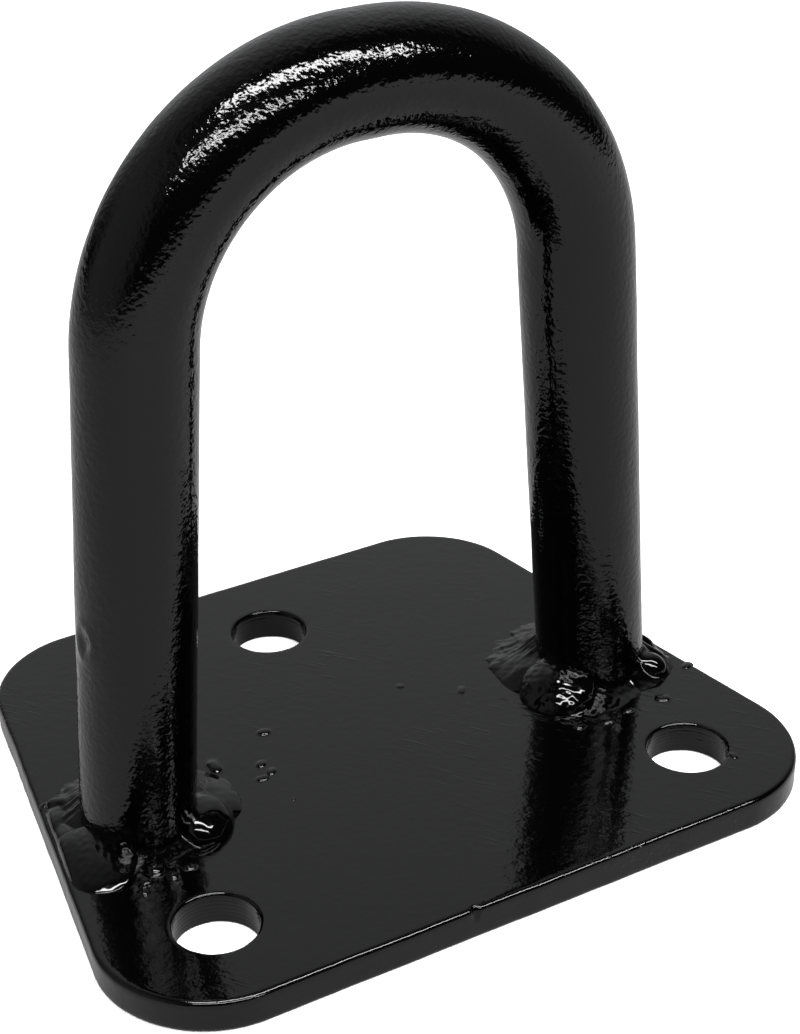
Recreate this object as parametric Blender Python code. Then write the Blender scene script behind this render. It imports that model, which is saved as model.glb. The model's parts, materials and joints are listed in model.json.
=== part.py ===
"""Welded bar eye on a three-hole base plate.

A round bar, bent to a bow, stands on a flat plate with rounded corners and is held by three fillet
weld runs round each foot. The plate tapers from a wide front edge to a narrow back edge, with two
bolt holes at the front and one at the back. Lengths are in metres, +Z is up, and the origin is the
middle of the plate's underside. The front edge faces -Y.
"""
import math

import bmesh
import bpy
from mathutils import Vector

# Base plate
PLATE_THICKNESS = 0.005
FRONT_WIDTH = 0.113
BACK_WIDTH = 0.084
PLATE_DEPTH = 0.089
CORNER_RADIUS = 0.016
EDGE_ROUND = 0.0005
HOLE_RADIUS = 0.0058
HOLE_SPACING = 0.075
FRONT_HOLE_Y = -0.0295
BACK_HOLE_Y = 0.029

# Bow
BAR_RADIUS = 0.008
BOW_HEIGHT = 0.112
BEND_RADIUS = 0.031
LEG_LEAN = math.radians(4.2)
FOOT_SPACING = HOLE_SPACING
BOW_Y = -0.005

# Welds: name, leg side, start and end angle in degrees, reach over the plate, climb up the bar
WELD_RUNS = (
    ("weld_left_rear", -1, 52.0, 198.0, 0.0045, 0.0060),
    ("weld_left_front", -1, 200.5, 284.0, 0.0080, 0.0050),
    ("weld_left_inner", -1, 286.5, 409.5, 0.0060, 0.0055),
    ("weld_right_rear", 1, 62.0, 183.0, 0.0070, 0.0060),
    ("weld_right_front", 1, 185.5, 262.0, 0.0070, 0.0065),
    ("weld_right_outer", 1, 264.5, 419.5, 0.0045, 0.0070),
)

# Touching pieces stand this far apart, and cutters run this far past what they cut
GAP = 0.0003
OVERRUN = 0.010

# Smoothness of the facets
CORNER_STEPS = 10
HOLE_STEPS = 32
BEND_STEPS = 12
BAR_BEVEL_RESOLUTION = 8
WELD_STEP = math.radians(12.0)
WELD_FACE_STEPS = 5

ENAMEL = (0.018, 0.018, 0.019, 1.0)


def clear_scene():
    """Remove whatever the file holds, so that a run always starts from nothing."""
    for existing in list(bpy.data.objects):
        bpy.data.objects.remove(existing, do_unlink=True)


def new_collection(name):
    """A collection linked to the scene."""
    collection = bpy.data.collections.new(name)
    bpy.context.scene.collection.children.link(collection)
    return collection


def enamel(name, roughness):
    """Black gloss coat over steel."""
    material = bpy.data.materials.new(name)
    material.use_nodes = True
    shader = material.node_tree.nodes["Principled BSDF"]
    shader.inputs["Base Color"].default_value = ENAMEL
    shader.inputs["Roughness"].default_value = roughness
    shader.inputs["Metallic"].default_value = 0.0
    return material


def mesh_from_curve(curve_object, name, collection):
    """Turn a curve into a closed mesh object in its place, with its caps welded on."""
    bpy.context.view_layer.update()
    evaluated = curve_object.evaluated_get(bpy.context.evaluated_depsgraph_get())
    mesh = bpy.data.meshes.new_from_object(evaluated)
    shape = bmesh.new()
    shape.from_mesh(mesh)
    bmesh.ops.remove_doubles(shape, verts=shape.verts, dist=0.000005)
    bmesh.ops.recalc_face_normals(shape, faces=shape.faces)
    shape.to_mesh(mesh)
    shape.free()
    result = bpy.data.objects.new(name, mesh)
    result.matrix_world = curve_object.matrix_world.copy()
    collection.objects.link(result)
    bpy.data.objects.remove(curve_object, do_unlink=True)
    return result


def finish(part, material):
    """Give a part its coat and shade its round faces smooth."""
    part.data.materials.clear()
    part.data.materials.append(material)
    part.data.shade_smooth()
    part.data.set_sharp_from_angle(angle=math.radians(40.0))


def as_cutter(shape):
    """Show a cutting solid as a wire and keep it out of renders."""
    shape.hide_render = True
    shape.display_type = "WIRE"


def subtract(part, cutter):
    """Cut one solid out of another with an exact Boolean."""
    cut = part.modifiers.new("cut_" + cutter.name, "BOOLEAN")
    cut.operation = "DIFFERENCE"
    cut.solver = "EXACT"
    cut.object = cutter


def add_closed_spline(curve, points):
    """Add a closed straight-sided spline through points in the curve's plane."""
    spline = curve.splines.new("POLY")
    spline.points.add(len(points) - 1)
    for target, (x, y) in zip(spline.points, points):
        target.co = (x, y, 0.0, 1.0)
    spline.use_cyclic_u = True


def rounded_outline(corners, radius, steps):
    """Round each corner of a convex outline with an arc tangent to its two sides."""
    outline = []
    for index, corner in enumerate(corners):
        to_last = (corners[index - 1] - corner).normalized()
        to_next = (corners[(index + 1) % len(corners)] - corner).normalized()
        half_angle = to_last.angle(to_next) / 2.0
        centre = corner + (to_last + to_next).normalized() * (radius / math.sin(half_angle))
        setback = radius / math.tan(half_angle)
        first = corner + to_last * setback - centre
        last = corner + to_next * setback - centre
        start = math.atan2(first.y, first.x)
        turn = (math.atan2(last.y, last.x) - start) % math.tau
        for step in range(steps + 1):
            angle = start + turn * step / steps
            outline.append((centre.x + radius * math.cos(angle), centre.y + radius * math.sin(angle)))
    return outline


def circle_points(x, y, radius, steps):
    """Points round a circle."""
    angles = [math.tau * step / steps for step in range(steps)]
    return [(x + radius * math.cos(angle), y + radius * math.sin(angle)) for angle in angles]


def make_base_plate(collection, material):
    """Flat plate: rounded trapezium outline, three drilled holes, slightly rounded edges."""
    half_depth = PLATE_DEPTH / 2.0
    corners = [
        Vector((FRONT_WIDTH / 2.0, -half_depth)),
        Vector((BACK_WIDTH / 2.0, half_depth)),
        Vector((-BACK_WIDTH / 2.0, half_depth)),
        Vector((-FRONT_WIDTH / 2.0, -half_depth)),
    ]
    curve = bpy.data.curves.new("plate_outline", "CURVE")
    curve.dimensions = "2D"
    curve.fill_mode = "BOTH"
    curve.extrude = PLATE_THICKNESS / 2.0 - EDGE_ROUND
    curve.bevel_depth = EDGE_ROUND
    curve.bevel_resolution = 0
    curve.offset = -EDGE_ROUND
    add_closed_spline(curve, rounded_outline(corners, CORNER_RADIUS, CORNER_STEPS))
    holes = (
        (-HOLE_SPACING / 2.0, FRONT_HOLE_Y),
        (HOLE_SPACING / 2.0, FRONT_HOLE_Y),
        (0.0, BACK_HOLE_Y),
    )
    for x, y in holes:
        add_closed_spline(curve, circle_points(x, y, HOLE_RADIUS, HOLE_STEPS))
    outline = bpy.data.objects.new("plate_outline", curve)
    outline.location = (0.0, 0.0, PLATE_THICKNESS / 2.0)
    collection.objects.link(outline)
    plate = mesh_from_curve(outline, "base_plate", collection)
    finish(plate, material)
    return plate


def bow_path():
    """Centre line of the bow: two straight legs that lean in, and a bend with a short flat crown."""
    crown_z = BOW_HEIGHT - BAR_RADIUS
    bend_z = crown_z - BEND_RADIUS
    tangent_z = bend_z + BEND_RADIUS * math.sin(LEG_LEAN)
    tangent_x = FOOT_SPACING / 2.0 - (tangent_z - PLATE_THICKNESS) * math.tan(LEG_LEAN)
    bend_x = tangent_x - BEND_RADIUS * math.cos(LEG_LEAN)
    foot_z = PLATE_THICKNESS - OVERRUN
    foot_x = FOOT_SPACING / 2.0 + OVERRUN * math.tan(LEG_LEAN)
    right_side = [(foot_x, foot_z)]
    for step in range(BEND_STEPS + 1):
        angle = LEG_LEAN + (math.pi / 2.0 - LEG_LEAN) * step / BEND_STEPS
        right_side.append((bend_x + BEND_RADIUS * math.cos(angle), bend_z + BEND_RADIUS * math.sin(angle)))
    left_side = [(-x, z) for x, z in reversed(right_side)]
    return [(x, BOW_Y, z) for x, z in right_side + left_side]


def swept_bar(name, radius, collection):
    """Round bar of the given radius along the bow's centre line, as a closed mesh."""
    path = bow_path()
    curve = bpy.data.curves.new(name, "CURVE")
    curve.dimensions = "3D"
    curve.bevel_depth = radius
    curve.bevel_resolution = BAR_BEVEL_RESOLUTION
    curve.use_fill_caps = True
    spline = curve.splines.new("POLY")
    spline.points.add(len(path) - 1)
    for target, (x, y, z) in zip(spline.points, path):
        target.co = (x, y, z, 1.0)
    bar = bpy.data.objects.new(name + "_path", curve)
    collection.objects.link(bar)
    return mesh_from_curve(bar, name, collection)


def make_bow_bar(collection, cutters, material):
    """The bent bar, its two feet cut flat just above the plate."""
    bow = swept_bar("bow_bar", BAR_RADIUS, collection)
    bpy.ops.mesh.primitive_cube_add(size=1.0)
    floor_block = bpy.context.object
    floor_block.name = "foot_cutter"
    floor_block.scale = (FRONT_WIDTH, PLATE_DEPTH, 2.0 * OVERRUN)
    floor_block.location = (0.0, 0.0, PLATE_THICKNESS + GAP - OVERRUN)
    bpy.ops.object.transform_apply(location=False, rotation=False, scale=True)
    for owner in floor_block.users_collection:
        owner.objects.unlink(floor_block)
    cutters.objects.link(floor_block)
    as_cutter(floor_block)
    subtract(bow, floor_block)
    finish(bow, material)
    return bow


def fillet_section(reach, climb):
    """Outline of a convex fillet, from the bar's inside out to the toe and up to the bar again."""
    root = BAR_RADIUS / 2.0
    base = PLATE_THICKNESS + GAP
    section = [(root, base)]
    for step in range(WELD_FACE_STEPS + 1):
        angle = math.pi / 2.0 * step / WELD_FACE_STEPS
        section.append((BAR_RADIUS + reach * math.cos(angle), base + climb * math.sin(angle)))
    section.append((root, base + climb))
    return section


def make_weld_run(name, side, start, end, reach, climb, collection, bar_cutter, material):
    """One weld run: the fillet section turned part of the way round a foot, less the bar."""
    foot = Vector((side * FOOT_SPACING / 2.0, BOW_Y, 0.0))
    first = math.radians(start)
    sweep = math.radians(end) - first
    shape = bmesh.new()
    corners = [shape.verts.new((r * math.cos(first), r * math.sin(first), z))
               for r, z in fillet_section(reach, climb)]
    face = shape.faces.new(corners)
    bmesh.ops.spin(
        shape, geom=[face], cent=(0.0, 0.0, 0.0), axis=(0.0, 0.0, 1.0), angle=sweep,
        steps=math.ceil(sweep / WELD_STEP), use_duplicate=False)
    bmesh.ops.recalc_face_normals(shape, faces=shape.faces)
    mesh = bpy.data.meshes.new(name)
    shape.to_mesh(mesh)
    shape.free()
    weld = bpy.data.objects.new(name, mesh)
    weld.location = foot
    collection.objects.link(weld)
    subtract(weld, bar_cutter)
    finish(weld, material)
    return weld


def build():
    """Make every piece of the eye."""
    clear_scene()
    parts = new_collection("welded_bar_eye")
    cutters = new_collection("cutters")
    plate_coat = enamel("plate_coat", 0.25)
    bow_coat = enamel("bow_coat", 0.22)
    weld_coat = enamel("weld_coat", 0.2)
    make_base_plate(parts, plate_coat)
    make_bow_bar(parts, cutters, bow_coat)
    bar_cutter = swept_bar("bar_cutter", BAR_RADIUS + GAP, cutters)
    as_cutter(bar_cutter)
    for name, side, start, end, reach, climb in WELD_RUNS:
        make_weld_run(name, side, start, end, reach, climb, parts, bar_cutter, weld_coat)


build()
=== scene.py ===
# %% [markdown]
# # A welded bar eye in black enamel
#
# This eye is one of the plainest things in a rigger's box: a round steel bar bent to a bow, welded
# by both feet to a flat plate with three bolt holes, and dipped or sprayed in thick gloss enamel.
# Almost everything that makes it look real is in the surface. The weld is lumpy, the enamel is
# never quite flat, and a black gloss coat shows nothing but what stands round it. So this lesson
# spends its effort on three things: the shape of the weld, the skin of the enamel, and the lights.

import json
import math

import bmesh
import bpy
import numpy as np
from mathutils import Matrix, Vector
from mathutils.geometry import delaunay_2d_cdt

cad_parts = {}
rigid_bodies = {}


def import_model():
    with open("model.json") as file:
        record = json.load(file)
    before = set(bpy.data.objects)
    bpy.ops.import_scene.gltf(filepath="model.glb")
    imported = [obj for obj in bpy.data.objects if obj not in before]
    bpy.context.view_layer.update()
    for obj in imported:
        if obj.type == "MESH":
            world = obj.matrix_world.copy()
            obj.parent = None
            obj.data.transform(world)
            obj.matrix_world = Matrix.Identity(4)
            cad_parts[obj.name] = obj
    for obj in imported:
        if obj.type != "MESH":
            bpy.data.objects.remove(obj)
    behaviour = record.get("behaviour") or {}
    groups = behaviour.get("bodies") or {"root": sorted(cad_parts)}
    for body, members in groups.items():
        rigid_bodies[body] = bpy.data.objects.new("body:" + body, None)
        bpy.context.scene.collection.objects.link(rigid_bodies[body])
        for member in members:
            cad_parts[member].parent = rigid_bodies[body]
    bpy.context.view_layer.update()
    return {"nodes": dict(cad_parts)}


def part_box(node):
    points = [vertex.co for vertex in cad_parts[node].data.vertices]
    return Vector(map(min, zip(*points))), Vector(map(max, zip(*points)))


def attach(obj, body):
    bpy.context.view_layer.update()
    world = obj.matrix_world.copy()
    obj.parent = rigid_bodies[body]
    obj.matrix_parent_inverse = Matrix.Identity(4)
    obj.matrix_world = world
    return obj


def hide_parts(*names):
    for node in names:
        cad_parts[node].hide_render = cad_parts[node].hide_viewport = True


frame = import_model()
print("nodes:", sorted(frame["nodes"]))

# %% [markdown]
# The frame already says where everything is, so most sizes are read from its boxes. Only what a box
# can't hold is stated again: how the plate tapers, where its holes are, and how the bow is bent.

# %% Sizes
MM = 0.001

_, plate_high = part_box("base_plate")
bow_low, bow_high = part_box("bow_bar")

PLATE_TOP = plate_high.z
HALF_DEPTH = plate_high.y
HALF_FRONT = 56.5 * MM
HALF_BACK = 42.0 * MM
CORNER_RADIUS = 16.0 * MM
HOLE_RADIUS = 5.8 * MM
HOLES = ((-37.5 * MM, -29.5 * MM), (37.5 * MM, -29.5 * MM), (0.0, 29.0 * MM))

BAR_RADIUS = (bow_high.y - bow_low.y) / 2.0
BOW_Y = (bow_high.y + bow_low.y) / 2.0
CROWN_Z = bow_high.z - BAR_RADIUS
BEND_RADIUS = 31.0 * MM
LEG_LEAN = math.radians(4.2)
FOOT_X = 37.5 * MM

print("plate top at", round(PLATE_TOP / MM, 2), "mm; bar radius", round(BAR_RADIUS / MM, 2), "mm")

# %% [markdown]
# Every piece below is a set of points that is worked out as one array and then turned into a mesh.
# Blender's own primitives would be quicker to call, but nothing on them could be uneven. The first
# helper hands whole arrays of points and faces to Blender at once, and sees that the shell faces
# outwards.


# %% From points and faces to a mesh
def mesh_object(name, points, triangles, quads, flat_triangles=False):
    """Mesh from points (n, 3), triangles (t, 3) and quads (q, 4), turned to face outwards.

    The volume inside is the sum of the signed volumes between each face and the origin. Where it
    comes out negative the faces look inwards, and all of them are reversed.
    """
    corners = np.concatenate([triangles.ravel(), quads.ravel()]).astype(np.int32)
    sizes = np.concatenate([np.full(len(triangles), 3), np.full(len(quads), 4)])
    starts = np.concatenate([[0], np.cumsum(sizes)[:-1]]).astype(np.int32)
    mesh = bpy.data.meshes.new(name)
    mesh.vertices.add(len(points))
    mesh.vertices.foreach_set("co", points.astype(np.float32).ravel())
    mesh.loops.add(len(corners))
    mesh.loops.foreach_set("vertex_index", corners)
    mesh.polygons.add(len(sizes))
    mesh.polygons.foreach_set("loop_start", starts)
    mesh.update(calc_edges=True)
    mesh.validate()
    shell = bmesh.new()
    shell.from_mesh(mesh)
    if shell.calc_volume(signed=True) < 0.0:
        bmesh.ops.reverse_faces(shell, faces=shell.faces)
    print(name, "encloses", round(shell.calc_volume(signed=True) / MM**3, 1), "cubic mm")
    shell.to_mesh(mesh)
    shell.free()
    smooth = np.ones(len(sizes), dtype=bool)
    smooth[:len(triangles)] = not flat_triangles
    mesh.polygons.foreach_set("use_smooth", smooth)
    piece = bpy.data.objects.new(name, mesh)
    bpy.context.scene.collection.objects.link(piece)
    return piece


# %% [markdown]
# Bar, weld runs and drops are all tubes: a grid of points whose columns join up round the tube, and
# whose first and last rows are closed with a fan of triangles. The faces follow from the row and
# column numbers alone.


# %% Closed tubes from grids of points
def grid_quads(rows, columns, first=0):
    """Quads (q, 4) between neighbouring rows of a grid numbered row by row, its columns joined up."""
    row, column = np.meshgrid(np.arange(rows - 1), np.arange(columns), indexing="ij")
    right = (column + 1) % columns
    quads = np.stack([row * columns + column, row * columns + right,
                      (row + 1) * columns + right, (row + 1) * columns + column], axis=-1)
    return quads.reshape(-1, 4) + first


def tubes_object(name, grids):
    """One mesh of closed tubes, each a (rows, columns, 3) grid whose end rows close on their middle."""
    points, triangles, quads = [], [], []
    first = 0
    for grid in grids:
        rows, columns, _ = grid.shape
        here = np.arange(columns)
        after = (here + 1) % columns
        last = (rows - 1) * columns
        middle = np.full(columns, rows * columns)
        points += [grid.reshape(-1, 3), grid[:1].mean(axis=1), grid[-1:].mean(axis=1)]
        triangles.append(first + np.stack([after, here, middle], axis=1))
        triangles.append(first + np.stack([last + here, last + after, middle + 1], axis=1))
        quads.append(grid_quads(rows, columns, first))
        first += rows * columns + 2
    return mesh_object(name, np.concatenate(points), np.concatenate(triangles), np.concatenate(quads))


print("a tube of 3 rings of 4 points has", len(grid_quads(3, 4)), "faces round its side")

# %% [markdown]
# Nothing on hand-made steel is exact. One helper gives all the unevenness: it adds up many plane
# waves of about one length that run in all directions. The result is smooth, has no seam on any
# surface because it is a function of the point in space, and is the same on every run.


# %% Smooth unevenness
def swell(points, length, seed, waves=28):
    """Sum of plane waves of roughly the given length, about -1 to 1, at points (..., 3)."""
    random = np.random.default_rng(seed)
    direction = random.normal(size=(3, waves))
    direction /= np.linalg.norm(direction, axis=0)
    pitch = math.tau / (length * random.uniform(0.7, 1.4, waves))
    phase = random.uniform(0.0, math.tau, waves)
    return np.cos(points @ (direction * pitch) + phase).sum(axis=-1) / math.sqrt(2.0 * waves)


print("swell at the plate's middle:", round(float(swell(np.zeros(3), 5.0 * MM, 1)), 3))

# %% [markdown]
# ## The bow
# A bar is a circle carried along a path. The path is two straight legs that lean in towards each
# other and a bend that is tangent to both. A curve object with a bevel would give the plain tube in
# two lines, but a bar bent round a former is not plain: it flattens a little in the bend, its
# surface swells and sinks by a few hundredths of a millimetre, and it carries a knock or two. On
# gloss black those are what one sees, so the bar is worked out point by point.


# %% Centre line of the bow
def bow_line(spacing):
    """Points and tangents (n, 2) in the bow's x-z plane, from the left foot to the right foot.

    Each leg is a straight line that leans in by the lean angle. The bend is a circle arc from the
    angle pi minus the lean down to the lean, split by a short flat so that the feet stand where
    they should.
    """
    bend_z = CROWN_Z - BEND_RADIUS
    tangent_z = bend_z + BEND_RADIUS * math.sin(LEG_LEAN)
    tangent_x = FOOT_X - (tangent_z - PLATE_TOP) * math.tan(LEG_LEAN)
    bend_x = tangent_x - BEND_RADIUS * math.cos(LEG_LEAN)
    leg = (tangent_z - PLATE_TOP) / math.cos(LEG_LEAN)
    arc = BEND_RADIUS * (math.pi / 2.0 - LEG_LEAN)
    half = leg + arc + bend_x
    # one half, measured from the middle of the crown outwards and down
    along = np.linspace(0.0, half, int(half / spacing))
    turn = np.clip((along - bend_x) / BEND_RADIUS, 0.0, math.pi / 2.0 - LEG_LEAN)
    down = np.clip(along - bend_x - arc, 0.0, None)
    x = np.minimum(along, bend_x) + BEND_RADIUS * np.sin(turn) + down * math.sin(LEG_LEAN)
    z = bend_z + BEND_RADIUS * np.cos(turn) - down * math.cos(LEG_LEAN)
    right = np.stack([x, z], axis=1)
    slope = np.stack([np.cos(turn), -np.sin(turn)], axis=1)
    left = right[:0:-1] * (-1.0, 1.0)
    left_slope = slope[:0:-1] * (1.0, -1.0)
    return np.concatenate([left, right]), np.concatenate([left_slope, slope])


STATION_STEP = 0.5 * MM
line, slope = bow_line(STATION_STEP)
print("bow centre line has", len(line), "stations")

# %% [markdown]
# Hoist gear gets knocked. One small dent sits on the outside of the left leg, with the slight rim
# that a blow raises round it. A dent could be pressed in with a displacement texture, but as a
# function of the distance from its middle it stays one short formula.

# %% The knock on the left leg
KNOCK_HEIGHT = 36.8 * MM
KNOCK_SIZE = 1.1 * MM
KNOCK_DEPTH = 0.42 * MM
KNOCK_FORWARD = 1.0 * MM
KNOCK_STRETCH = 0.75
KNOCK_RIM = 0.35
KNOCK_RIM_AT = 1.7
KNOCK_RIM_WIDTH = 0.5


def knock(points):
    """Depth at points (..., 3): a bell exp(-d^2) less a share exp(-((d - at) / width)^2) for the rim."""
    outside = -FOOT_X + (KNOCK_HEIGHT - PLATE_TOP) * math.tan(LEG_LEAN) - BAR_RADIUS
    middle = np.array([outside, BOW_Y - KNOCK_FORWARD, KNOCK_HEIGHT])
    away = np.linalg.norm((points - middle) * (1.0, 1.0, KNOCK_STRETCH), axis=-1) / KNOCK_SIZE
    raised = KNOCK_RIM * np.exp(-((away - KNOCK_RIM_AT) / KNOCK_RIM_WIDTH) ** 2)
    return KNOCK_DEPTH * (np.exp(-away**2) - raised)


print("knock at", round(KNOCK_HEIGHT / MM, 1), "mm,", round(KNOCK_DEPTH / MM, 2), "mm deep")

# %% [markdown]
# The round section is laid across each station. The angle starts at the front of the bar (-Y) and
# turns towards the outside of the bow. Where the bar is bent its section is a little narrower in
# the plane of the bow and a little wider across it, as bending does.

# %% The bent bar
BAR_SIDES = 112
BEND_SQUEEZE = 0.012
BEND_SPREAD = 0.8
FOOT_SINK = 0.2 * MM
FOOT_END_SINK = 0.3 * MM
LONG_WAVE = 14.0 * MM
LONG_DEPTH = 0.030 * MM
SHORT_WAVE = 5.0 * MM
SHORT_DEPTH = 0.010 * MM


def bar_surface():
    """Grid (stations, sides, 3): station point plus radius times the direction round the section."""
    centre = np.stack([line[:, 0], np.full(len(line), BOW_Y), line[:, 1]], axis=1)
    outward = np.stack([-slope[:, 1], np.zeros(len(slope)), slope[:, 0]], axis=1)
    front = np.array([0.0, -1.0, 0.0])
    angle = np.linspace(0.0, math.tau, BAR_SIDES, endpoint=False)
    bent = np.exp(-((centre[:, 2] - CROWN_Z) / (BEND_SPREAD * BEND_RADIUS)) ** 2)[:, None]
    across = np.cos(angle)[None, :] * (1.0 + BEND_SQUEEZE * bent)
    inplane = np.sin(angle)[None, :] * (1.0 - BEND_SQUEEZE * bent)
    ring = across[..., None] * front + inplane[..., None] * outward[:, None, :]
    plain = centre[:, None, :] + BAR_RADIUS * ring
    uneven = LONG_DEPTH * swell(plain, LONG_WAVE, 3) + SHORT_DEPTH * swell(plain, SHORT_WAVE, 4)
    return plain + (uneven - knock(plain))[..., None] * ring


def sunk_feet(grid):
    """Cut the feet level just under the plate's top, so that no gap shows below the weld."""
    sunk = grid.copy()
    sunk[1:-1, :, 2] = np.maximum(grid[1:-1, :, 2], PLATE_TOP - FOOT_SINK)
    sunk[[0, -1], :, 2] = PLATE_TOP - FOOT_END_SINK
    return sunk


bow = tubes_object("bow_bar_enamelled", [sunk_feet(bar_surface())])
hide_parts("bow_bar")
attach(bow, "root")
print("bow:", len(bow.data.polygons), "faces")

# %% [markdown]
# ## The base plate
# The plate is cut from 5 mm stock, its corners rounded, its edges eased by hand. Its outline is a
# trapezium with four arcs. A profile is carried round that outline: a narrow flat lip on top, a
# rounded edge, the side, another rounded edge and the lip below. The same is done round each hole.
# What is left of the top and the underside is flat, and is filled with plain triangles between the
# lips. A cube with bevelled edges and three Booleans would be shorter, but its edges would be exact
# and its holes smooth. The lips keep the shading of the flats from bending towards the edges.


# %% Rounded trapezium
def outline(steps, spacing):
    """Closed ring of points (n, 2) and outward normals (n, 2), straight runs joined by arcs."""
    corners = np.array([[HALF_FRONT, -HALF_DEPTH], [HALF_BACK, HALF_DEPTH],
                        [-HALF_BACK, HALF_DEPTH], [-HALF_FRONT, -HALF_DEPTH]])
    side = np.roll(corners, -1, axis=0) - corners
    side /= np.linalg.norm(side, axis=1, keepdims=True)
    normal = np.stack([side[:, 1], -side[:, 0]], axis=1)
    before = np.roll(normal, 1, axis=0)
    bisector = (before + normal) / (1.0 + (before * normal).sum(axis=1, keepdims=True))
    centre = corners - CORNER_RADIUS * bisector
    first = np.arctan2(before[:, 1], before[:, 0])
    turn = (np.arctan2(normal[:, 1], normal[:, 0]) - first) % math.tau
    angle = first[:, None] + turn[:, None] * np.linspace(0.0, 1.0, steps)
    round_normal = np.stack([np.cos(angle), np.sin(angle)], axis=-1)
    arcs = centre[:, None, :] + CORNER_RADIUS * round_normal
    points, normals = [], []
    for index in range(4):
        start, end = arcs[index, -1], arcs[(index + 1) % 4, 0]
        count = int(np.linalg.norm(end - start) / spacing)
        share = np.linspace(0.0, 1.0, count + 1)[1:-1, None]
        points += [arcs[index], start + share * (end - start)]
        normals += [round_normal[index], np.repeat(normal[index][None], count - 1, axis=0)]
    return np.concatenate(points), np.concatenate(normals)


ARC_STEPS = 48
RIM_STEP = 0.3 * MM
rim, rim_normal = outline(ARC_STEPS, RIM_STEP)
print("plate outline has", len(rim), "points")

# %% [markdown]
# An edge profile is a list of (inset, height) pairs, worked out from quarter circles. The rim of
# the plate and the rims of the holes use the same one: for a hole, the inset runs away from the
# bore.

# %% Edge profile
LIP = 0.5 * MM
EDGE_STEPS = 6


def edge_profile(rounding, side_steps):
    """Inset and height (n, 2) from the top lip, over the rounded edge, down the side, to the lip."""
    quarter = np.linspace(0.0, math.pi / 2.0, EDGE_STEPS + 1)
    top = np.stack([rounding * (1.0 - np.sin(quarter)),
                    PLATE_TOP - rounding * (1.0 - np.cos(quarter))], axis=1)
    below = top[::-1] * (1.0, -1.0) + (0.0, PLATE_TOP)
    side = np.linspace(top[-1], below[0], side_steps + 2)[1:-1]
    lips = np.array([[rounding + LIP, PLATE_TOP], [rounding + LIP, 0.0]])
    return np.concatenate([lips[:1], top, side, below, lips[1:]])


print("edge profile has", len(edge_profile(LIP, 1)), "points with one step down the side")

# %% [markdown]
# The plate's edge was eased by hand, so its line wanders by a few hundredths of a millimetre. The
# easing takes a little off all round, which keeps the wandering edge all but inside the plate's
# box. The front edge has one small nick where the plate was dropped on something hard. A nick is a
# narrow, flat-bottomed bell along the rim that fades out on its way down the side.

# %% Rings round the plate
EDGE_ROUND = 0.80 * MM
NICK_X = -7.3 * MM
NICK_WIDTH = 0.42 * MM
NICK_DEPTH = 0.75 * MM
NICK_ENDS = 0.6
RIM_SIDE_STEPS = 5
EASED_LONG_WAVE = 16.0 * MM
EASED_LONG_DEPTH = 0.05 * MM
EASED_SHORT_WAVE = 4.0 * MM
EASED_SHORT_DEPTH = 0.025 * MM
EASED_AWAY = 0.07 * MM


def rim_rings():
    """Grid (profile, outline, 3) round the plate, its edge a little uneven as hand-eased edges are."""
    profile = edge_profile(EDGE_ROUND, RIM_SIDE_STEPS)
    flat = np.concatenate([rim, np.zeros((len(rim), 1))], axis=1)
    wander = (EASED_LONG_DEPTH * swell(flat, EASED_LONG_WAVE, 11)
              + EASED_SHORT_DEPTH * swell(flat, EASED_SHORT_WAVE, 12))
    on_edge = 1.0 - np.clip(profile[:, 0] / (EDGE_ROUND + LIP), 0.0, 1.0)
    inset = profile[:, :1] - on_edge[:, None] * (wander - EASED_AWAY)[None, :]
    nick = NICK_DEPTH * np.exp(-((rim[:, 0] - NICK_X) / NICK_WIDTH) ** 4) * (rim[:, 1] < 0.0)
    upper = (profile[:, 1] / PLATE_TOP - NICK_ENDS) / (1.0 - NICK_ENDS)
    upper = np.clip(upper, 0.0, 1.0) * on_edge
    inset = inset + upper[:, None] * nick[None, :]
    place = rim[None] - inset[..., None] * rim_normal[None]
    height = np.broadcast_to(profile[:, 1:], inset.shape)
    return np.concatenate([place, height[..., None]], axis=-1)


print("rim rings:", rim_rings().shape[:2])

# %% [markdown]
# The bores keep the fine rings that a drill leaves. Two shallow waves along the depth give them,
# one for the feed of the drill and one for its chatter, and a swell lets the wall wobble.

# %% Rings down a drilled hole
HOLE_ROUND = 0.45 * MM
HOLE_SIDES = 96
HOLE_DEPTH_STEPS = 24
FEED_PITCH = 0.62 * MM
FEED_DEPTH = 0.018 * MM
CHATTER_PITCH = 0.3952 * MM
CHATTER_DEPTH = 0.012 * MM
WOBBLE = 0.03 * MM
WOBBLE_WAVE = 3.0 * MM


def hole_rings(x, y, seed):
    """Grid (profile, angle, 3) down one drilled hole, from the top lip to the lip underneath."""
    profile = edge_profile(HOLE_ROUND, HOLE_DEPTH_STEPS)
    inset = profile[:, :1]
    depth = profile[:, 1:]
    angle = -np.linspace(0.0, math.tau, HOLE_SIDES, endpoint=False)
    feed = FEED_DEPTH * np.sin(depth * math.tau / FEED_PITCH)
    chatter = CHATTER_DEPTH * np.sin(depth * math.tau / CHATTER_PITCH + seed)
    on_wall = inset < 1e-9
    radius = HOLE_RADIUS + inset + on_wall * (feed + chatter) + 0.0 * angle
    around = np.stack([np.cos(angle), np.sin(angle)], axis=-1)
    height = np.broadcast_to(depth, radius.shape)[..., None]
    place = np.array([x, y]) + radius[..., None] * around
    wobble = swell(np.concatenate([place, height], axis=-1), WOBBLE_WAVE, seed) * (inset < HOLE_ROUND)
    place = place + WOBBLE * wobble[..., None] * around
    return np.concatenate([place, height], axis=-1)


print("hole rings:", hole_rings(*HOLES[0], 21).shape[:2])

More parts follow.
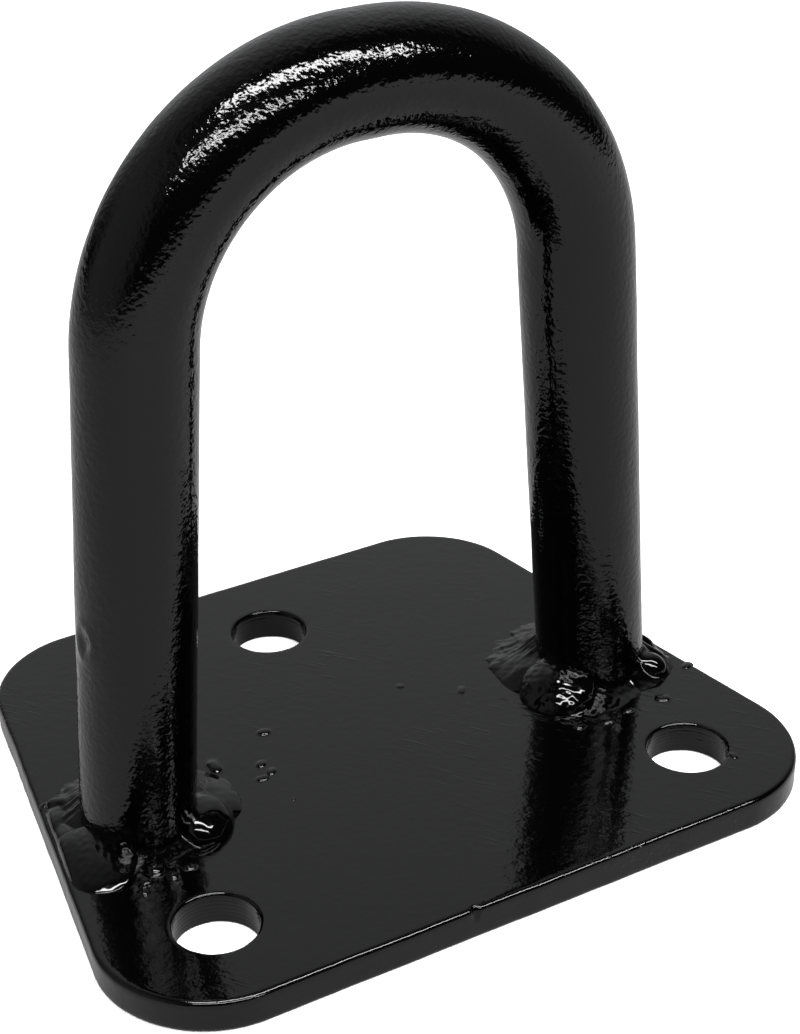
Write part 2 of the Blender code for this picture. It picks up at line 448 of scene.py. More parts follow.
# %% [markdown]
# The flats are cut into triangles by Blender's constrained Delaunay routine, which keeps them as fat
# as they can be. Plain ear clipping would leave slivers along the straight edges, and a sliver's
# normal is noise that shows as a dark speck in gloss. The routine fills the holes too, and those
# triangles are known by having all three corners on the ring of one hole.

# %% Flat fill between the lips
INSIDE_ONLY = 1
SAME_POINT = 1e-6


def flat_fill(flat, counts):
    """Triangles (t, 3) that fill the first ring of points (n, 2) in mm and leave the holes open."""
    ends = np.cumsum(counts)
    number = np.arange(len(flat))
    after = number + 1
    after[ends - 1] = ends - counts
    edges = np.stack([number, after], axis=1).tolist()
    places = [Vector(point) for point in flat]
    _, _, faces, sources, _, _ = delaunay_2d_cdt(places, edges, [], INSIDE_ONLY, SAME_POINT)
    source = np.array([first[0] for first in sources])
    fill = source[np.array(faces)]
    ring = np.repeat(np.arange(len(counts)), counts)[fill]
    across_hole = (ring == ring[:, :1]).all(axis=1) & (ring[:, 0] > 0)
    return fill[~across_hole]


square = np.array([[0.0, 0.0], [1.0, 0.0], [1.0, 1.0], [0.0, 1.0]])
print("a square is filled by", len(flat_fill(square, [4])), "triangles")

# %% [markdown]
# Top and underside have the same lips, so one fill serves both: the underside takes it with the
# corners of each triangle in the opposite order.


# %% Plate from its rings
def plate_piece():
    """Rings round the rim and the holes, and flat triangles that fill the two faces between them."""
    grids = [rim_rings()] + [hole_rings(x, y, 21 + index) for index, (x, y) in enumerate(HOLES)]
    firsts = np.cumsum([0] + [grid.shape[0] * grid.shape[1] for grid in grids])
    points = np.concatenate([grid.reshape(-1, 3) for grid in grids])
    quads = np.concatenate([grid_quads(*grid.shape[:2], first)[:, ::-1]
                            for grid, first in zip(grids, firsts)])
    counts = [grid.shape[1] for grid in grids]
    top = np.concatenate([first + np.arange(count) for first, count in zip(firsts, counts)])
    below = np.concatenate([last - count + np.arange(count)
                            for last, count in zip(firsts[1:], counts)])
    fill = flat_fill(points[top, :2] / MM, counts)
    fills = np.concatenate([top[fill], below[fill][:, ::-1]])
    return mesh_object("base_plate_enamelled", points, fills, quads, flat_triangles=True)


plate = plate_piece()
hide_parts("base_plate")
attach(plate, "root")
print("plate:", len(plate.data.polygons), "faces")

# %% [markdown]
# ## The weld
# Stick welding by hand leaves puddles of steel that freeze one over another. Seen across the joint,
# a run is a fillet: it reaches out over the plate and climbs up the bar. So the surface has two
# parameters: the angle round the foot, and the angle in the section, from flat along the plate to
# straight up the bar. For each pair there is one distance from the corner where bar and plate meet.
# The fillet gives a distance, and every puddle, which is an ellipsoid, gives one too: how far the
# ray runs before it leaves the ellipsoid. A ray that only grazes the ellipsoid counts for less, or
# its rim would be a step. The longest distance wins, which draws the crisp crease round each
# puddle. Metaballs would melt the creases away, and sculpting couldn't be repeated.


# %% Fillet and puddles
PUDDLE_EASE = 0.2


def fillet(section, reach, climb, power):
    """Distance from the corner: (|cos/reach|^p + |sin/climb|^p)^(-1/p); p of 1 is flat, 2 is round."""
    along, up = np.cos(section) / reach, np.sin(section) / climb
    return (along**power + up**power) ** (-1.0 / power)


def puddle_distance(corner, direction, foot, puddle):
    """Far root t of |A (corner + t direction - middle)|^2 = 1, and 0 where the ray misses.

    A puddle is (angle, radius, height, lean, half length, half width, thickness) in degrees and mm.
    Its flat side leans outwards by the lean angle, as a drop frozen on a slope does.
    """
    angle, radius, level, lean, deep, wide, thick = puddle
    turn, tip = math.radians(angle), math.radians(lean)
    outward = np.array([math.cos(turn), math.sin(turn), 0.0])
    upward = np.array([0.0, 0.0, 1.0])
    axes = np.array([math.cos(tip) * outward - math.sin(tip) * upward,
                     [-math.sin(turn), math.cos(turn), 0.0],
                     math.sin(tip) * outward + math.cos(tip) * upward])
    middle = foot + radius * MM * outward + level * MM * upward
    scale = 1.0 / (np.array([deep, wide, thick]) * MM)
    start = ((corner - middle) @ axes.T * scale)[:, None, :]
    ray = direction @ axes.T * scale
    square = (ray**2).sum(axis=-1)
    cross = (ray * start).sum(axis=-1)
    inside = 1.0 - (start**2).sum(axis=-1) + cross**2 / square
    root = np.sqrt(np.clip(inside, 0.0, None) / square)
    ease = np.clip(inside / PUDDLE_EASE, 0.0, 1.0)
    return np.clip(root - cross / square, 0.0, None) * ease * ease * (3.0 - 2.0 * ease)


print("a 2 mm flat fillet is", round(fillet(math.pi / 4.0, 2.0, 2.0, 1.0), 2), "mm thick")

# %% [markdown]
# Where two of these surfaces cross, liquid steel leaves a small radius and not a knife edge. A
# rounded maximum gives it. The values that change round the foot are blurred a little, so that a
# run has no kinks in it.


# %% Rounded crossings and eased values
BLUR_REACH = 9.0
BLUR_POINTS = 13


def smooth_max(first, second, soft):
    """Greater of two arrays, rounded where they cross over a width of about soft."""
    return 0.5 * (first + second + np.sqrt((first - second) ** 2 + soft**2))


def eased(at, knots, values):
    """Straight-line values between knots, blurred by a raised cosine so that no kink is left."""
    shift = np.radians(np.linspace(-BLUR_REACH, BLUR_REACH, BLUR_POINTS))
    weight = 1.0 + np.cos(np.linspace(-math.pi, math.pi, BLUR_POINTS))
    spread = np.interp(at[:, None] + shift[None, :], np.radians(knots), values)
    return (spread * weight).sum(axis=1) / weight.sum()


print("5 and 5 cross at", smooth_max(5.0, 5.0, 0.4))

# %% [markdown]
# The left foot stands so near the plate's slanting side that its rear run ends right on the edge.
# Steel that would hang over it is pulled back, and sinks a little as it does.

# %% Weld kept on the plate
TOE_MARGIN = 0.45 * MM
EDGE_SOFTNESS = 0.9 * MM
EDGE_SINK = 0.6
DEEPEST = 0.1 * MM


def kept_on_plate(points):
    """Pull |x| softly back inside the plate's slanting side, by a smooth minimum."""
    share = (points[..., 1] + HALF_DEPTH) / (2.0 * HALF_DEPTH)
    limit = HALF_FRONT + (HALF_BACK - HALF_FRONT) * share - TOE_MARGIN
    size = np.abs(points[..., 0])
    kept = -smooth_max(-size, -limit, EDGE_SOFTNESS)
    held = points.copy()
    held[..., 0] = np.sign(points[..., 0]) * kept
    held[..., 2] = np.maximum(points[..., 2] - EDGE_SINK * (size - kept), PLATE_TOP - DEEPEST)
    return held


print("the plate's side is kept clear by", round(TOE_MARGIN / MM, 2), "mm")

# %% [markdown]
# A run drawn along by hand has folds that lie slantwise across it, closer together in some places
# and fading out in others. They are cosines of the angle round the foot, bent and slanted a little,
# and a slow swell turns them up and down.

# %% Folds in a run
FOLD_COUNT = 27.0
FINE_FOLDS = 1.7
FOLD_SLANT = 0.22
FOLD_WANDER = 0.10
WANDER_TURNS = 3.1
FOLD_STRENGTH = 0.55
FOLD_SWELL = 0.75
FOLD_SWELL_WAVE = 5.5 * MM


def drawn_folds(around, section, corner, seed):
    """Folds (round, section), about -1 to 1: two cosines along slanting lines times a slow swell."""
    wander = FOLD_WANDER * np.sin(WANDER_TURNS * around + seed)
    slant = (around + wander)[:, None] + FOLD_SLANT * np.sin(section)[None, :]
    folds = np.cos(FOLD_COUNT * slant + seed) + 0.5 * np.cos(FINE_FOLDS * FOLD_COUNT * slant)
    strength = FOLD_STRENGTH + FOLD_SWELL * swell(corner, FOLD_SWELL_WAVE, seed + 9)
    return strength[:, None] * folds


print("folds lie", round(math.degrees(math.tau / FOLD_COUNT), 1), "degrees apart")

# %% [markdown]
# Every run starts from a corner line, a circle just inside the bar at the level of the plate. From
# each point on it a fan of rays runs outwards, the lowest along the plate and the highest up the
# leg. The leg leans, so the upper rays lean with it. A start inside the bar hides the root of the
# weld in the steel.

# %% Corner line and rays
SECTION_STEPS = 76
SECTION = np.linspace(0.0, math.pi / 2.0, SECTION_STEPS)
CORNER_INSET = 1.2 * MM
CORNER_BELOW = 0.05 * MM


def run_rays(side, around):
    """Foot (3), outward (a, 3), corner (a, 3) and rays (a, s, 3): cos(s) outward plus sin(s) up."""
    outward = np.stack([np.cos(around), np.sin(around), np.zeros(len(around))], axis=1)
    up = np.array([-side * math.tan(LEG_LEAN), 0.0, 1.0])
    foot = np.array([side * FOOT_X, BOW_Y, PLATE_TOP - CORNER_BELOW])
    corner = foot + (BAR_RADIUS - CORNER_INSET) * outward
    rays = (np.cos(SECTION)[None, :, None] * outward[:, None, :]
            + np.sin(SECTION)[None, :, None] * up)
    return foot, outward, corner, rays


print("each fan has", SECTION_STEPS, "rays")

# %% [markdown]
# A run is given by what a welder would see: how far its toe reaches and how high it climbs at a few
# angles round the foot. Between those angles the values follow a smooth curve. Along the toe the
# steel froze in a torn line. A swell in space gives it, and a high power of the cosine holds it
# near the plate, because spread over the whole section it would look like feathers.

# %% Fillet with folds and a torn toe
TEAR_WAVES = (2.8 * MM, 1.3 * MM)
TEAR_AT_TOE = 24


def torn_fillet(around, corner, rays, shape, power, seed, folds, ragged):
    """Distance (a, s): the fillet, times 1 plus the folds, times 1 plus the tear at its toe."""
    knots, reach, climb = np.array(shape).T
    distance = fillet(SECTION[None, :], eased(around, knots, reach)[:, None] * MM + CORNER_INSET,
                      eased(around, knots, climb)[:, None] * MM, power)
    distance *= 1.0 + folds * drawn_folds(around, SECTION, corner, seed)
    toe = corner[:, None, :] + distance[..., None] * rays
    torn = ragged * (swell(toe, TEAR_WAVES[0], seed + 7) + 0.5 * swell(toe, TEAR_WAVES[1], seed + 8))
    return distance * (1.0 + torn * np.cos(SECTION)[None, :] ** TEAR_AT_TOE)


print("twenty degrees up, the tear is down to",
      round(math.cos(math.radians(20.0)) ** TEAR_AT_TOE, 2), "of what it is at the toe")

# %% [markdown]
# The puddles go on top of the fillet, and a little unevenness over everything, more of it on the
# rough runs. The two ends of a run sink into the joint, and the whole run is closed through the
# corner, inside the steel.

# %% One weld run
ROUND_STEP = 0.7
END_TURN = math.radians(12.0)
END_SHARE = 0.2
THINNEST = 0.6 * MM
LUMP_WAVES = (3.4 * MM, 1.2 * MM)
TOE_SINK = 0.3 * MM
ROOT_SINK = 0.25 * MM
ROOT_INSET = 0.3 * MM


def weld_run(node, side, shape, puddles, power, seed, folds=0.0, coarse=0.06, fine=0.02, crease=0.12,
             ragged=0.0):
    """Closed mesh of one run: grid (round, section) of corner plus distance times ray.

    shape lists (angle, reach, climb) in degrees and mm, and puddles are as in puddle_distance.
    folds and ragged are the shares by which the folds and the torn line of the toe lengthen and
    shorten the fillet. coarse and fine are the depths of its lumps, and crease the width of its
    creases, all in mm.
    """
    first, last = shape[0][0], shape[-1][0]
    around = np.radians(np.linspace(first, last, int((last - first) / ROUND_STEP)))
    foot, outward, corner, rays = run_rays(side, around)
    distance = torn_fillet(around, corner, rays, shape, power, seed, folds, ragged)
    for puddle in puddles:
        distance = smooth_max(distance, puddle_distance(corner, rays, foot, puddle), crease * MM)
    plain = corner[:, None, :] + distance[..., None] * rays
    lumps = (coarse * MM * swell(plain, LUMP_WAVES[0], seed)
             + fine * MM * swell(plain, LUMP_WAVES[1], seed + 50))
    ends = np.clip(np.minimum(around - around[0], around[-1] - around) / END_TURN, 0.0, 1.0)
    taper = np.sqrt(1.0 - (1.0 - ends) ** 2)[:, None]
    shrink = END_SHARE + (1.0 - END_SHARE) * taper
    distance = np.maximum((distance + lumps) * shrink, THINNEST)
    skin = kept_on_plate(corner[:, None, :] + distance[..., None] * rays)
    skin[:, 0, 2] = PLATE_TOP - TOE_SINK
    root = corner[:, None, :] - (0.0, 0.0, ROOT_SINK) - ROOT_INSET * outward[:, None, :]
    run = tubes_object(node + "_run", [np.concatenate([root, skin], axis=1)])
    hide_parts(node)
    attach(run, "root")
    return run


print("the ends of a run sink over", round(math.degrees(END_TURN)), "degrees")

# %% [markdown]
# ### Left foot
# The run behind is rough and reaches out to the plate's edge. In front lies one broad flat lobe,
# then a short stretch that barely climbs. On the eye side a dome sits on a wide smooth skirt. Each
# is the same function with other values, because the welder's hand and rod were the same too.

# %% Runs of the left foot
weld_run("weld_left_rear", -1,
         ((44, 4.2, 4.6), (70, 5.6, 5.6), (100, 6.0, 5.6), (129, 6.4, 5.0), (150, 5.8, 4.0),
          (170, 5.0, 3.0), (190, 4.8, 2.4), (207, 4.0, 2.0)),
         ((118, 11.0, 0.0, 20, 3.4, 2.0, 1.7), (134, 11.8, 0.0, 14, 2.8, 1.6, 1.5),
          (152, 11.4, 0.0, 16, 2.6, 4.2, 1.4), (178, 10.8, 0.0, 18, 2.8, 5.0, 1.5),
          (143, 14.2, 0.0, 0, 1.0, 1.2, 0.8)),
         power=0.85, seed=5, folds=0.03, coarse=0.12, fine=0.035, crease=0.4, ragged=0.06)
weld_run("weld_left_front", -1,
         ((150, 1.6, 1.2), (178, 2.4, 1.8), (198, 3.6, 2.6), (214, 5.4, 3.0), (232, 5.2, 2.4),
          (250, 3.6, 2.0), (266, 2.8, 1.9), (284, 2.6, 2.0), (300, 2.2, 2.0)),
         ((210, 11.1, 0.5, 15, 6.6, 7.0, 1.55),),
         power=0.8, seed=9, coarse=0.05, fine=0.03, ragged=0.03)
weld_run("weld_left_inner", -1,
         ((278, 2.2, 1.4), (296, 3.0, 2.2), (318, 4.6, 4.0), (344, 6.8, 5.0), (370, 7.4, 5.6),
          (392, 5.8, 5.4), (412, 4.4, 4.8)),
         ((323, 9.2, 0.6, 24, 4.3, 4.8, 3.4), (356, 10.8, 0.2, 16, 4.8, 5.6, 1.6)),
         power=0.82, seed=14, folds=0.01)
print("left foot: 3 runs")

# %% [markdown]
# ### Right foot
# Here the run behind is drawn out in folds and ends in a smooth lobe. In front sits a round glossy
# dome with a low lip below it. On the outer side the steel was drawn up the leg.

# %% Runs of the right foot
weld_run("weld_right_rear", 1,
         ((50, 4.2, 4.8), (75, 6.0, 6.2), (93, 7.2, 7.0), (125, 7.8, 7.0), (148, 8.0, 5.8),
          (168, 6.6, 4.6), (184, 5.0, 3.2), (198, 3.0, 2.4)),
         ((128, 11.2, 0.0, 30, 4.6, 1.6, 1.8), (108, 11.6, 0.0, 28, 3.8, 1.4, 1.9),
          (164, 10.6, 0.3, 26, 5.0, 5.0, 1.9), (146, 12.4, 0.0, 16, 3.2, 1.6, 1.2)),
         power=0.72, seed=23, folds=0.022, coarse=0.12, fine=0.035, crease=0.45, ragged=0.07)
weld_run("weld_right_front", 1,
         ((160, 1.6, 2.0), (184, 3.0, 3.0), (206, 6.6, 3.4), (232, 6.4, 2.4), (254, 4.8, 1.8),
          (276, 2.8, 1.8), (294, 2.4, 2.0)),
         ((205, 9.3, 0.8, 26, 6.0, 5.9, 3.8),),
         power=0.8, seed=31, coarse=0.07, fine=0.045, ragged=0.04)
weld_run("weld_right_outer", 1,
         ((276, 2.2, 1.8), (296, 3.0, 3.0), (316, 4.2, 5.0), (334, 5.6, 6.6), (360, 4.6, 7.2),
          (384, 4.8, 6.6), (410, 4.6, 5.2), (424, 4.2, 4.6)),
         ((320, 9.0, 0.4, 38, 2.9, 2.3, 2.6), (338, 10.0, 0.4, 45, 3.8, 0.9, 1.3),
          (352, 9.6, 1.0, 50, 3.6, 1.0, 1.3)),
         power=0.70, seed=37, folds=0.03, crease=0.45, ragged=0.03)
print("right foot: 3 runs")

# %% [markdown]
# ### Spatter
# A stick weld throws small drops that freeze on the plate. Each is a low dome with a foot that
# flares out, because the enamel runs down and fills the corner round it. Scattered spheres would
# look like beads laid on the plate. Here a dome and its foot are one turned profile, and each drop
# is squashed a little differently. The list gives place, radius and height in millimetres, and the
# enamel, as it levels out, takes a quarter off each height.

# %% Spatter drops
DROP_RINGS = 22
DROP_SIDES = 36
FOOT_REACH = 1.6
MOST_SQUASH = 0.35
DOME_EDGE = 1.05
SKIRT_HEIGHT = 0.16
SKIRT_AT = 0.9
SKIRT_WIDTH = 0.33
DROP_FLATTER = 0.75
DROPS = (
    (-13.1, 4.9, 0.85, 0.55), (-17.0, -1.9, 0.75, 0.50), (-16.5, -4.2, 0.70, 0.45),
    (-18.3, -5.0, 0.75, 0.45), (-23.0, 1.0, 1.15, 0.75), (10.0, 5.0, 0.55, 0.20),
    (17.3, -0.6, 0.70, 0.25), (41.7, -17.8, 0.95, 0.55), (50.0, -12.6, 0.70, 0.35),
    (41.9, -34.6, 0.60, 0.30), (-16.8, -11.5, 0.30, 0.22), (-39.9, -15.6, 1.35, 1.30),
    (-42.1, -18.0, 0.65, 0.80), (-43.2, -19.4, 0.60, 0.60), (-38.3, -17.9, 0.85, 0.80),
    (-35.6, -17.6, 0.75, 0.50), (-46.9, 4.9, 0.70, 0.60), (-46.0, 3.6, 0.55, 0.50),
    (27.2, -17.4, 0.80, 0.60), (31.4, -18.6, 0.65, 0.45), (35.6, -17.8, 0.60, 0.45),
)


def drop_grid(x, y, radius, height, seed):
    """Grid (rings, angle, 3): a round dome sqrt(1 - (r / edge)^2), or its bell-shaped skirt if higher."""
    reach = np.linspace(FOOT_REACH, 0.03, DROP_RINGS)[:, None]
    angle = np.linspace(0.0, math.tau, DROP_SIDES, endpoint=False)[None, :]
    random = np.random.default_rng(seed)
    stretch = 1.0 + random.uniform(0.0, MOST_SQUASH) * np.cos(2.0 * angle + random.uniform(0.0, math.tau))
    body = np.sqrt(np.clip(1.0 - (reach / DOME_EDGE) ** 2, 0.0, None))
    skirt = SKIRT_HEIGHT * np.exp(-((reach - SKIRT_AT) / SKIRT_WIDTH) ** 2)
    level = DROP_FLATTER * height * np.maximum(body, skirt) * MM
    level = np.where(reach > 1.5, -0.02 * MM, level)
    out = reach * radius * MM * stretch
    return np.stack([x * MM + out * np.cos(angle), y * MM + out * np.sin(angle),
                     PLATE_TOP + level + 0.0 * angle], axis=-1)


spatter = tubes_object("weld_spatter", [drop_grid(*drop, 60 + index) for index, drop in enumerate(DROPS)])
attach(spatter, "root")
print("spatter:", len(DROPS), "drops")

# %% [markdown]
# ## The enamel
# Gloss black enamel has almost no colour of its own: its look is its skin. Sprayed or dipped enamel
# dries with orange peel, small soft hills about a millimetre across, that tear a bright reflection
# into specks and leave dark ones with ragged edges. One node group makes that skin, and each
# material sets how coarse and how deep it is. The group gives out a height for a Bump node and a
# faint change of gloss. A picture of enamel would be simpler, but it would need seams and it would
# hold somebody else's lights. First come three helpers that keep the node trees short.


# %% Node helpers
def new_group(name, inputs, outputs):
    """Shader node group with named float inputs (name, default) and float outputs."""
    group = bpy.data.node_groups.new(name, "ShaderNodeTree")
    for label, default in inputs:
        socket = group.interface.new_socket(label, in_out="INPUT", socket_type="NodeSocketFloat")
        socket.default_value = default
    for label in outputs:
        group.interface.new_socket(label, in_out="OUTPUT", socket_type="NodeSocketFloat")
    return group, group.nodes.new("NodeGroupInput"), group.nodes.new("NodeGroupOutput")


def maths(tree, operation, first, second):
    """Math node; each operand is a socket or a number."""
    node = tree.nodes.new("ShaderNodeMath")
    node.operation = operation
    for slot, operand in enumerate((first, second)):
        if isinstance(operand, bpy.types.NodeSocket):
            tree.links.new(operand, node.inputs[slot])
        else:
            node.inputs[slot].default_value = operand
    return node.outputs[0]


def noise(tree, vector, scale, detail, rough=0.5):
    """Noise texture on a vector; scale is a socket or a number, in turns per metre."""
    node = tree.nodes.new("ShaderNodeTexNoise")
    node.inputs["Detail"].default_value = detail
    node.inputs["Roughness"].default_value = rough
    tree.links.new(vector, node.inputs["Vector"])
    if isinstance(scale, bpy.types.NodeSocket):
        tree.links.new(scale, node.inputs["Scale"])
    else:
        node.inputs["Scale"].default_value = scale
    return node.outputs["Fac"]


print("node helpers ready")

# %% [markdown]
# The skin is made of three layers of noise: the peel itself, a finer grain on it, and a long swell
# where the coat was thick or thin. Their depths are in metres, so they can be read as real sizes:
# the peel is one to eight hundredths of a millimetre deep.

# %% Orange peel group
GRAIN_TO_PEEL = 3.7
SWELLS_PER_METRE = 95.0
PATCHES_PER_METRE = 230.0
peel_group, peel_in, peel_out = new_group(
    "enamel_skin",
    (("Peel per metre", 750.0), ("Peel depth", 6e-6), ("Grain depth", 1e-6), ("Swell depth", 2e-5)),
    ("Height", "Gloss change"))
place = peel_group.nodes.new("ShaderNodeTexCoord").outputs["Object"]
peel = noise(peel_group, place, peel_in.outputs["Peel per metre"], 1.0)
grain_scale = maths(peel_group, "MULTIPLY", peel_in.outputs["Peel per metre"], GRAIN_TO_PEEL)
grain = noise(peel_group, place, grain_scale, 1.0)
long_swell = noise(peel_group, place, SWELLS_PER_METRE, 0.0)
height = maths(peel_group, "MULTIPLY", peel, peel_in.outputs["Peel depth"])
for layer, depth in ((grain, "Grain depth"), (long_swell, "Swell depth")):
    layer_height = maths(peel_group, "MULTIPLY", layer, peel_in.outputs[depth])
    height = maths(peel_group, "ADD", height, layer_height)
peel_group.links.new(height, peel_out.inputs["Height"])
patchy = maths(peel_group, "SUBTRACT", noise(peel_group, place, PATCHES_PER_METRE, 3.0), 0.5)
peel_group.links.new(patchy, peel_out.inputs["Gloss change"])
print("group:", peel_group.name)

# %% [markdown]
# Where tools, chains and hands have rubbed the coat there are faint scratches that all run one way.
# They are noise stretched eight times along one direction, and only its highest ridges are kept.
# A mask of slow noise lets them come and go. They are a group of their own, because the bar and
# the plate are rubbed in different directions and the welds not at all.

# %% Rub marks group
MARKS_ALONG = 240.0
MARKS_ACROSS = 1900.0
RIDGE_LEVEL = 0.60
PATCH_LEVEL = 0.47
PATCHES_OF_MARKS = 60.0
MARK_GAIN = 60.0
rub_group, rub_in, rub_out = new_group("rub_marks", (("Depth", 1e-5), ("Turn", 0.0)), ("Height",))
place = rub_group.nodes.new("ShaderNodeTexCoord").outputs["Object"]
swing = rub_group.nodes.new("ShaderNodeVectorRotate")
swing.rotation_type = "Z_AXIS"
rub_group.links.new(place, swing.inputs["Vector"])
rub_group.links.new(rub_in.outputs["Turn"], swing.inputs["Angle"])
stretch = rub_group.nodes.new("ShaderNodeVectorMath")
stretch.operation = "MULTIPLY"
stretch.inputs[1].default_value = (MARKS_ALONG, MARKS_ACROSS, MARKS_ACROSS)
rub_group.links.new(swing.outputs["Vector"], stretch.inputs[0])
streaks = noise(rub_group, stretch.outputs["Vector"], 1.0, 1.0)
ridges = maths(rub_group, "MAXIMUM", maths(rub_group, "SUBTRACT", streaks, RIDGE_LEVEL), 0.0)
slow = maths(rub_group, "SUBTRACT", noise(rub_group, place, PATCHES_OF_MARKS, 1.0), PATCH_LEVEL)
patches = maths(rub_group, "MAXIMUM", slow, 0.0)
marks = maths(rub_group, "MULTIPLY", maths(rub_group, "MULTIPLY", ridges, patches), MARK_GAIN)
marks = maths(rub_group, "MULTIPLY", marks, rub_in.outputs["Depth"])
rub_group.links.new(marks, rub_out.inputs["Height"])
print("group:", rub_group.name)

# %% [markdown]
# Every material is the same enamel, so one function makes them all. The base is nearly black and
# not metallic, because the steel is fully hidden. How strongly it mirrors is set by a low IOR, and
# how sharply by a little roughness. On the bar the enamel ran and dried fast, so its peel is deep
# and fine. It lay level on the plate, and over the lumpy weld it pooled and is smoothest.

# %% Enamel materials
ENAMEL_BLACK = (0.0004, 0.0004, 0.0005, 1.0)
ENAMEL_IOR = 1.37
GLOSS_SPREAD = 0.05


def enamel(name, roughness, peel_scale, peel_depth, grain_depth, swell_depth, rub_depth=0.0, rub_turn=0.0):
    """Black enamel with its own orange peel and rub marks; depths in metres, the turn in radians."""
    material = bpy.data.materials.new(name)
    material.use_nodes = True
    tree = material.node_tree
    shader = tree.nodes["Principled BSDF"]
    shader.inputs["Base Color"].default_value = ENAMEL_BLACK
    shader.inputs["IOR"].default_value = ENAMEL_IOR
    skin = tree.nodes.new("ShaderNodeGroup")
    skin.node_tree = peel_group
    for label, value in (("Peel per metre", peel_scale), ("Peel depth", peel_depth),
                         ("Grain depth", grain_depth), ("Swell depth", swell_depth)):
        skin.inputs[label].default_value = value
    bump = tree.nodes.new("ShaderNodeBump")
    bump.inputs["Distance"].default_value = 1.0
    rub = tree.nodes.new("ShaderNodeGroup")
    rub.node_tree = rub_group
    rub.inputs["Depth"].default_value = rub_depth
    rub.inputs["Turn"].default_value = rub_turn
    height = maths(tree, "ADD", skin.outputs["Height"], rub.outputs["Height"])
    tree.links.new(height, bump.inputs["Height"])
    tree.links.new(bump.outputs["Normal"], shader.inputs["Normal"])
    change = maths(tree, "MULTIPLY", skin.outputs["Gloss change"], GLOSS_SPREAD)
    tree.links.new(maths(tree, "ADD", change, roughness), shader.inputs["Roughness"])
    return material


bow_enamel = enamel("bow_enamel", 0.08, 1250.0, 8.2e-5, 9e-6, 9e-5, rub_depth=0.6e-5, rub_turn=2.1)
plate_enamel = enamel("plate_enamel", 0.09, 900.0, 2.9e-5, 6e-6, 4e-5, rub_depth=1.3e-5, rub_turn=0.9)
weld_enamel = enamel("weld_enamel", 0.07, 420.0, 1.2e-5, 1e-6, 2e-5)
bow.data.materials.append(bow_enamel)
plate.data.materials.append(plate_enamel)
weld_pieces = [piece for piece in bpy.context.scene.objects
               if piece.name.startswith("weld_") and piece.name not in frame["nodes"]]
for piece in weld_pieces:
    piece.data.materials.append(weld_enamel)
print("enamelled:", bow.name, plate.name, "and", len(weld_pieces), "weld pieces")

# %% [markdown]
# ## Studio
# A gloss black object is lit by what it mirrors. It stands on a plain pale floor. To the camera the
# floor is nearly white, and to the enamel it is a middle grey, or the edges of the plate and the
# bore of each hole would glare. The Light Path node tells the two apart.

# %% Floor
FLOOR_SIZE = 2.4
PAPER_MIRRORED = 0.36
PAPER_SEEN = 0.58
PAPER_GLOW = 0.32

bpy.ops.mesh.primitive_plane_add(size=FLOOR_SIZE)
floor = bpy.context.object
floor.name = "floor"
floor_material = bpy.data.materials.new("floor_paper")
floor_material.use_nodes = True
floor_tree = floor_material.node_tree
floor_shader = floor_tree.nodes["Principled BSDF"]
seen = floor_tree.nodes.new("ShaderNodeLightPath").outputs["Is Camera Ray"]
paper = maths(floor_tree, "ADD", maths(floor_tree, "MULTIPLY", seen, PAPER_SEEN), PAPER_MIRRORED)
floor_tree.links.new(paper, floor_shader.inputs["Base Color"])
paper_glow = maths(floor_tree, "MULTIPLY", seen, PAPER_GLOW)
floor_tree.links.new(paper_glow, floor_shader.inputs["Emission Strength"])
floor_shader.inputs["Emission Color"].default_value = (1.0, 1.0, 1.0, 1.0)
floor_shader.inputs["Roughness"].default_value = 0.9
floor_shader.inputs["Specular IOR Level"].default_value = 0.1
floor.data.materials.append(floor_material)
print("floor:", FLOOR_SIZE, "m square")

# %% [markdown]
# Two long tubes hang over and behind the camera. They draw the two streaks on the shoulder of the
# bow and the bright glints on the weld. A big soft box would be kinder, but it would wash the crown
# out and leave no streaks for the orange peel to tear.


# %% Lights
EYE_MIDDLE = 0.05


def strip_light(name, start, end, width, power):
    """Rectangular area light between two points, facing the eye."""
    start, end = Vector(start), Vector(end)
    middle = (start + end) / 2.0
    light = bpy.data.lights.new(name, "AREA")
    light.shape = "RECTANGLE"
    light.size = (end - start).length
    light.size_y = width
    light.energy = power
    lamp = bpy.data.objects.new(name, light)
    along = (end - start).normalized()
    back = (middle - Vector((0.0, 0.0, EYE_MIDDLE))).normalized()
    side = back.cross(along).normalized()
    back = along.cross(side)
    turn = np.eye(4)
    turn[:3, :3] = np.array([along, side, back]).T
    turn[:3, 3] = middle
    lamp.matrix_world = Matrix(turn.tolist())
    bpy.context.scene.collection.objects.link(lamp)
    return lamp


HANG = 1.1
NEAR_START = (-0.40 * HANG, -0.17 * HANG, HANG)
NEAR_END = (0.90 * HANG, -0.98 * HANG, HANG)
FAR_START = (-0.78 * HANG, -0.66 * HANG, HANG)
FAR_END = (0.54 * HANG, -1.86 * HANG, HANG)
tube_near = strip_light("tube_near", NEAR_START, NEAR_END, width=0.15, power=32.0)
tube_far = strip_light("tube_far", FAR_START, FAR_END, width=0.12, power=26.0)
for lamp in (tube_near, tube_far):
    print(lamp.name, "is", round(lamp.data.size, 2), "m long")

# %% [markdown]
# The room is a dim dome with a few soft openings, most of them behind the eye, where they lay an
# even grey over the plate. Each opening is a direction, how wide it is and how bright, and its
# light rises smoothly from its edge to its middle. What the camera sees past the floor is white.

# %% Room
OPENINGS = (
    (38.0, 22.0, 60.0, 26.0, 0.36),
    (-84.0, 16.0, 50.0, 14.0, 0.34),
    (6.0, 42.0, 56.0, 24.0, 0.33),
)
ROOM_GLOW = 0.018

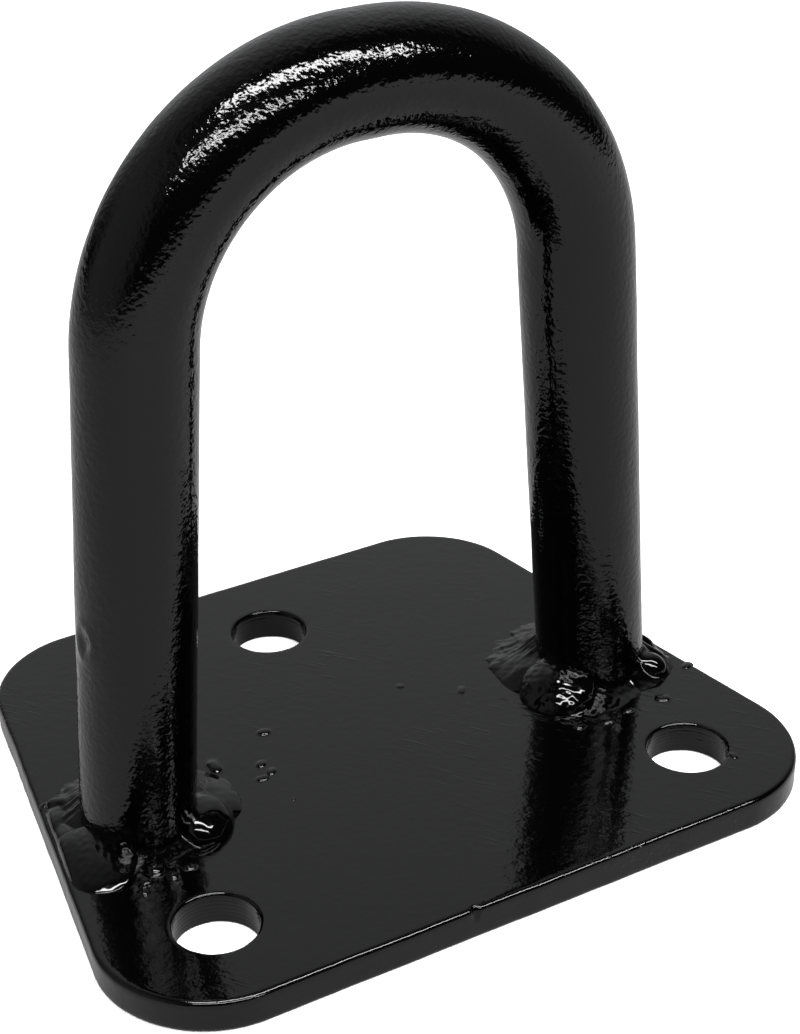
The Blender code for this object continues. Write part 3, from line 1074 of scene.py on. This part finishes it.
world = bpy.data.worlds.new("room")
bpy.context.scene.world = world
world.use_nodes = True
room = world.node_tree
direction = room.nodes.new("ShaderNodeTexCoord").outputs["Generated"]


def opening(azimuth, elevation, edge, middle, level):
    """Soft spot of light: level times a smoothstep from the edge angle to the middle, in degrees."""
    turn, tilt = math.radians(azimuth), math.radians(elevation)
    dot = room.nodes.new("ShaderNodeVectorMath")
    dot.operation = "DOT_PRODUCT"
    flat = math.cos(tilt)
    dot.inputs[1].default_value = (math.sin(turn) * flat, math.cos(turn) * flat, math.sin(tilt))
    room.links.new(direction, dot.inputs[0])
    rise = room.nodes.new("ShaderNodeMapRange")
    rise.interpolation_type = "SMOOTHSTEP"
    rise.inputs["From Min"].default_value = math.cos(math.radians(edge))
    rise.inputs["From Max"].default_value = math.cos(math.radians(middle))
    rise.inputs["To Max"].default_value = level
    room.links.new(dot.outputs["Value"], rise.inputs["Value"])
    return rise.outputs["Result"]


backdrop = room.nodes.new("ShaderNodeLightPath").outputs["Is Camera Ray"]
glow = maths(room, "ADD", backdrop, ROOM_GLOW)
for spot in OPENINGS:
    glow = maths(room, "ADD", glow, opening(*spot))
room.links.new(glow, room.nodes["Background"].inputs["Strength"])
room.nodes["Background"].inputs["Color"].default_value = (0.97, 0.98, 1.0, 1.0)
print("room:", len(OPENINGS), "openings")

# %% [markdown]
# The camera looks down by about thirty degrees at the front left of the eye, from a forearm's
# length away. A fairly long lens keeps the far leg within about a tenth of the size of the near
# one. The camera is turned a trace about its own axis, and a small shift frames the eye without
# turning it further.

# %% Camera
CAMERA_AT = (-0.12041, -0.22376, 0.18401)
CAMERA_TURN = (1.0398, 0.0211, -0.5089)

camera_data = bpy.data.cameras.new("camera")
camera_data.lens = 73.5
camera_data.sensor_width = 36.0
camera_data.shift_x = 0.0394
camera_data.shift_y = 0.0291
camera_data.clip_start = 0.01
camera = bpy.data.objects.new("camera", camera_data)
camera.location = CAMERA_AT
camera.rotation_euler = CAMERA_TURN
bpy.context.scene.collection.objects.link(camera)
bpy.context.scene.camera = camera
bpy.context.scene.view_settings.view_transform = "Standard"
print("camera", round(camera.location.length / MM), "mm from the plate's middle")
